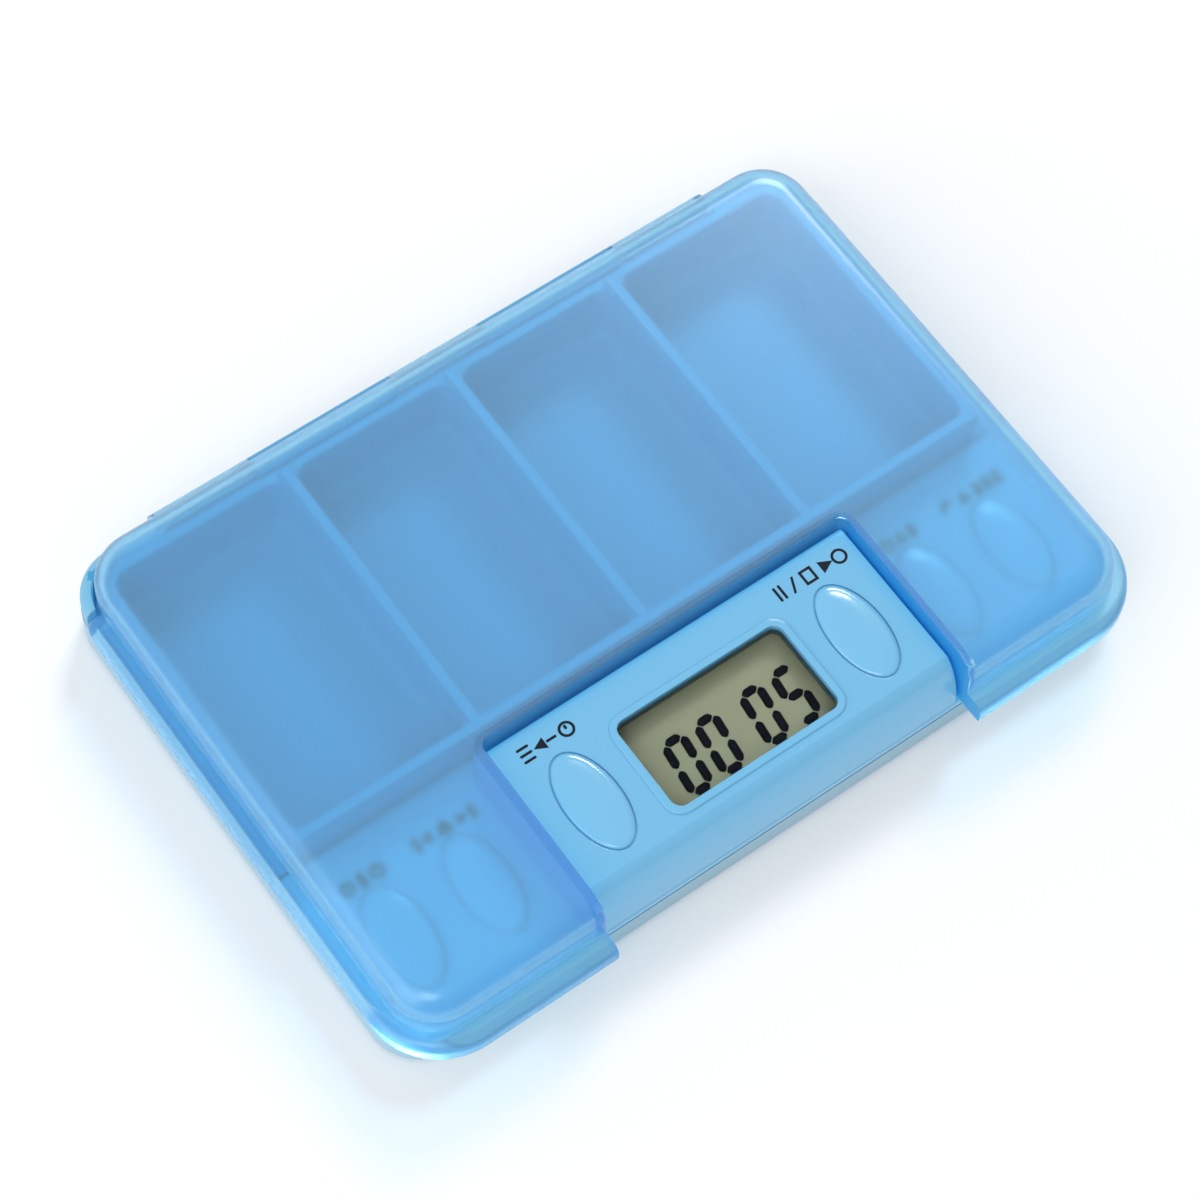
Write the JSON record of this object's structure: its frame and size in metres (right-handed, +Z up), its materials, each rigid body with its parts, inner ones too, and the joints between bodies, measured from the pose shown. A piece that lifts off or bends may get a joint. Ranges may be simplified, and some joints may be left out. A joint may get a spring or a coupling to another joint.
{
  "type": "pill organizer",
  "caption": "Flat pocket pill organizer with compartments under a frosted hinged lid and a timer with display and buttons in front.",
  "frame": {"origin": "centre of the underside", "axes": "+Z up, +Y towards the hinge, +X to the right seen from the front"},
  "size_m": [0.1, 0.071, 0.0143],
  "materials": {
    "tray_blue": "satin blue moulding",
    "panel_blue": "glossy light blue moulding",
    "lid_frost": "frosted translucent blue",
    "button_blue": "glossy light blue",
    "pin_steel": "drawn steel",
    "board_green": "solder mask",
    "dome_film": "film",
    "window_clear": "clear moulding",
    "holder_white": "white moulding",
    "display_glass": "display glass",
    "reflector_grey": "grey green film",
    "zebra_rubber": "matte",
    "chip_epoxy": "black epoxy",
    "can_metal": "plated can",
    "buzzer_black": "black moulding",
    "capacitor_tan": "ceramic",
    "cell_steel": "nickel plated steel",
    "contact_nickel": "plated spring strip",
    "door_blue": "satin blue moulding",
    "screw_steel": "zinc plated steel"
  },
  "bodies": {
    "base": {"tray_base": "tray_blue", "control_panel": "panel_blue", "hinge_pin": "pin_steel", "circuit_board": "board_green", "dome_sheet_left": "dome_film", "dome_sheet_right": "dome_film", "display_lens": "window_clear", "lcd_holder": "holder_white", "lcd_glass": "display_glass", "lcd_backing": "reflector_grey", "zebra_strip": "zebra_rubber", "chip_blob": "chip_epoxy", "crystal_can": "can_metal", "buzzer": "buzzer_black", "capacitor_1": "capacitor_tan", "capacitor_2": "capacitor_tan", "capacitor_3": "capacitor_tan", "cell_left": "cell_steel", "cell_right": "cell_steel", "contact_positive": "contact_nickel", "contact_negative": "contact_nickel", "case_screw_1": "screw_steel", "case_screw_2": "screw_steel", "case_screw_3": "screw_steel", "case_screw_4": "screw_steel"},
    "lid": {"lid": "lid_frost"},
    "door": {"battery_door": "door_blue", "contact_bridge": "contact_nickel"},
    "recall_button": {"recall_button": "button_blue"},
    "power_button": {"power_button": "button_blue"},
    "clock_button": {"clock_button": "button_blue"},
    "alarm_button": {"alarm_button": "button_blue"},
    "hour_button": {"hour_button": "button_blue"},
    "minute_button": {"minute_button": "button_blue"}
  },
  "joints": [
    {"name": "lid_hinge", "type": "hinge", "parent": "base", "child": "lid", "pos_m": [0, 0.0339, 0.0091], "axis": [-1, 0, 0], "range_deg": [0, 100]},
    {"name": "door_release", "type": "slide", "parent": "base", "child": "door", "axis": [0, 0, -1], "range_m": [0, 0.012]},
    {"name": "recall_press", "type": "slide", "parent": "base", "child": "recall_button", "axis": [0, 0, -1], "range_m": [0, 0.0004], "stiffness_N_per_m": 500, "springref_m": -0.0001},
    {"name": "power_press", "type": "slide", "parent": "base", "child": "power_button", "axis": [0, 0, -1], "range_m": [0, 0.0004], "stiffness_N_per_m": 500, "springref_m": -0.0001},
    {"name": "clock_press", "type": "slide", "parent": "base", "child": "clock_button", "axis": [0, 0, -1], "range_m": [0, 0.0004], "stiffness_N_per_m": 500, "springref_m": -0.0001},
    {"name": "alarm_press", "type": "slide", "parent": "base", "child": "alarm_button", "axis": [0, 0, -1], "range_m": [0, 0.0004], "stiffness_N_per_m": 500, "springref_m": -0.0001},
    {"name": "hour_press", "type": "slide", "parent": "base", "child": "hour_button", "axis": [0, 0, -1], "range_m": [0, 0.0004], "stiffness_N_per_m": 500, "springref_m": -0.0001},
    {"name": "minute_press", "type": "slide", "parent": "base", "child": "minute_button", "axis": [0, 0, -1], "range_m": [0, 0.0004], "stiffness_N_per_m": 500, "springref_m": -0.0001}
  ]
}
